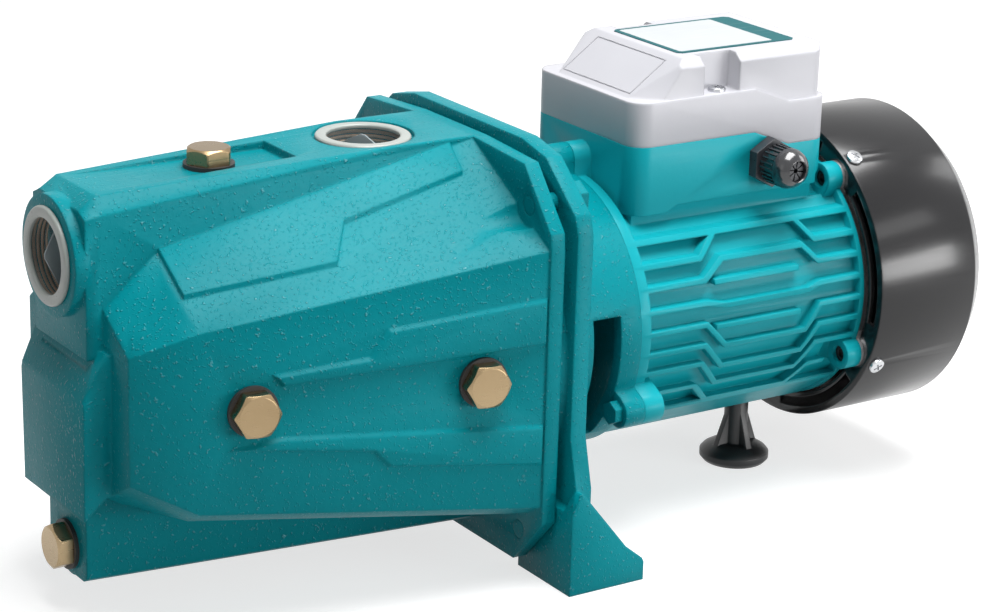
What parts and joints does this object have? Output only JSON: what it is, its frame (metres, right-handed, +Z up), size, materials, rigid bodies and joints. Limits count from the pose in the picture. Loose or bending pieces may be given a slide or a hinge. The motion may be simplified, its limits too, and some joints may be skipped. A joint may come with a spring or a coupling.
{
  "type": "shallow well jet pump",
  "caption": "self priming shallow well jet pump: faceted cast casing with inner ejector, footed bracket, finned motor with terminal box and fan cover",
  "frame": {"origin": "on the floor, midway between the two foot bolt holes", "axes": "+X along the shaft from the suction port to the fan cover, +Y across, +Z up"},
  "size_m": [0.4332, 0.188, 0.2054],
  "materials": {
    "teal_cast_iron": "glossy teal enamel over cast iron",
    "teal_frame": "smooth teal enamel over aluminium",
    "brass": "machined brass",
    "zinc_steel": "bright zinc plated steel",
    "stainless": "ground stainless steel",
    "bearing_steel": "polished bearing steel",
    "black_rubber": "moulded black rubber",
    "black_plastic": "glossy black plastic",
    "black_matte": "matte black plastic",
    "grey_plastic": "light grey moulded plastic",
    "cap_plastic": "milky translucent plastic",
    "gland_plastic": "charcoal nylon",
    "noryl": "glass filled black plastic",
    "gasket_fibre": "pressed fibre gasket",
    "ceramic": "ground ceramic",
    "steel_laminate": "stacked electrical steel",
    "copper_winding": "enamelled copper wire",
    "cast_aluminium": "die cast aluminium",
    "shaft_steel": "turned shaft steel",
    "plate_foil": "blank satin plate"
  },
  "bodies": {
    "pump": {"pump_casing": "teal_cast_iron", "casing_gasket": "gasket_fibre", "casing_bolts": "teal_cast_iron", "pump_bracket": "teal_cast_iron", "bracket_bolts": "teal_cast_iron", "ejector_nozzle": "brass", "ejector_venturi": "noryl", "ejector_o_ring": "black_rubber", "diffuser": "noryl", "seal_seat": "ceramic", "stator_core": "steel_laminate", "stator_windings": "copper_winding", "front_bearing_outer_ring": "bearing_steel", "rear_bearing_outer_ring": "bearing_steel", "wave_washer": "stainless", "motor_frame": "teal_frame", "end_shield": "cast_aluminium", "end_shield_screws": "zinc_steel", "fan_cover": "black_plastic", "fan_cover_screws": "zinc_steel", "rear_support_foot": "black_matte", "terminal_box_lid": "grey_plastic", "lid_gasket": "black_rubber", "lid_screws": "zinc_steel", "rating_plate": "plate_foil", "terminal_board": "black_matte", "terminal_studs": "brass", "capacitor": "grey_plastic", "earth_screw": "zinc_steel", "gland_body": "gland_plastic"},
    "rotor": {"motor_shaft": "shaft_steel", "rotor_core": "steel_laminate", "impeller": "brass", "impeller_nut": "brass", "seal_head": "black_matte", "seal_spring": "stainless", "shaft_slinger": "black_rubber", "front_bearing_inner_ring": "bearing_steel", "rear_bearing_inner_ring": "bearing_steel", "cooling_fan": "black_matte", "fan_clip": "stainless"},
    "front_balls": {"front_bearing_balls": "bearing_steel"},
    "rear_balls": {"rear_bearing_balls": "bearing_steel"},
    "suction_cap": {"suction_transit_cap": "cap_plastic"},
    "outlet_cap": {"outlet_transit_cap": "cap_plastic"},
    "gland_sleeve": {"gland_seal": "black_rubber"},
    "gland_cap": {"gland_nut": "gland_plastic"},
    "priming_ring": {"priming_plug_ring": "black_rubber"},
    "priming_plug": {"priming_plug": "brass"},
    "side_front_ring": {"side_front_plug_ring": "black_rubber"},
    "side_front_plug": {"side_front_plug": "brass"},
    "side_rear_ring": {"side_rear_plug_ring": "black_rubber"},
    "side_rear_plug": {"side_rear_plug": "brass"},
    "drain_ring": {"drain_plug_ring": "black_rubber"},
    "drain_plug": {"drain_plug": "brass"}
  },
  "joints": [
    {"name": "rotor_spin", "type": "hinge", "parent": "pump", "child": "rotor", "pos_m": [0, 0, 0.092], "axis": [1, 0, 0], "continuous": true},
    {"name": "front_balls_spin", "type": "hinge", "parent": "pump", "child": "front_balls", "pos_m": [0.0286, 0, 0.092], "axis": [1, 0, 0], "continuous": true},
    {"name": "rear_balls_spin", "type": "hinge", "parent": "pump", "child": "rear_balls", "pos_m": [0.1651, 0, 0.092], "axis": [1, 0, 0], "continuous": true},
    {"name": "suction_cap_pull", "type": "slide", "parent": "pump", "child": "suction_cap", "axis": [-1, 0, 0], "range_m": [0, 0.15]},
    {"name": "outlet_cap_pull", "type": "slide", "parent": "pump", "child": "outlet_cap", "axis": [0, 0, 1], "range_m": [0, 0.15]},
    {"name": "priming_ring_lift", "type": "slide", "parent": "pump", "child": "priming_ring", "axis": [0, 0, 1], "range_m": [0, 0.012]},
    {"name": "priming_plug_turn", "type": "hinge", "parent": "priming_ring", "child": "priming_plug", "pos_m": [-0.1354, 0, 0.1762], "axis": [0, 0, 1], "range_deg": [0, 3231.11]},
    {"name": "side_front_ring_lift", "type": "slide", "parent": "pump", "child": "side_front_ring", "axis": [-0.1493, -0.9888, 0], "range_m": [0, 0.012]},
    {"name": "side_front_plug_turn", "type": "hinge", "parent": "side_front_ring", "child": "side_front_plug", "pos_m": [-0.1499, -0.06325, 0.0955], "axis": [-0.1493, -0.9888, 0], "range_deg": [0, 3231.11]},
    {"name": "side_rear_ring_lift", "type": "slide", "parent": "pump", "child": "side_rear_ring", "axis": [-0.1493, -0.9888, 0], "range_m": [0, 0.012]},
    {"name": "side_rear_plug_turn", "type": "hinge", "parent": "side_rear_ring", "child": "side_rear_plug", "pos_m": [-0.0534, -0.07782, 0.0955], "axis": [-0.1493, -0.9888, 0], "range_deg": [0, 3231.11]},
    {"name": "drain_ring_lift", "type": "slide", "parent": "pump", "child": "drain_ring", "axis": [-1, 0, 0], "range_m": [0, 0.012]},
    {"name": "drain_plug_turn", "type": "hinge", "parent": "drain_ring", "child": "drain_plug", "pos_m": [-0.1994, 0, 0.027], "axis": [-1, 0, 0], "range_deg": [0, 3231.11]},
    {"name": "gland_sleeve_draw", "type": "slide", "parent": "pump", "child": "gland_sleeve", "axis": [0, -1, 0], "range_m": [0, 0.012]},
    {"name": "gland_nut_turn", "type": "hinge", "parent": "gland_sleeve", "child": "gland_cap", "pos_m": [0.1171, -0.0391, 0.1565], "axis": [0, -1, 0], "range_deg": [0, 2880]}
  ],
  "couplings": [
    {"joint": "front_balls_spin", "follows": "rotor_spin", "ratio": 0.38},
    {"joint": "rear_balls_spin", "follows": "rotor_spin", "ratio": 0.38},
    {"joint": "priming_plug_turn", "follows": "priming_ring_lift", "rad_per_m": 4699.5},
    {"joint": "side_front_plug_turn", "follows": "side_front_ring_lift", "rad_per_m": 4699.5},
    {"joint": "side_rear_plug_turn", "follows": "side_rear_ring_lift", "rad_per_m": 4699.5},
    {"joint": "drain_plug_turn", "follows": "drain_ring_lift", "rad_per_m": 4699.5},
    {"joint": "gland_nut_turn", "follows": "gland_sleeve_draw", "rad_per_m": 4188.8}
  ]
}
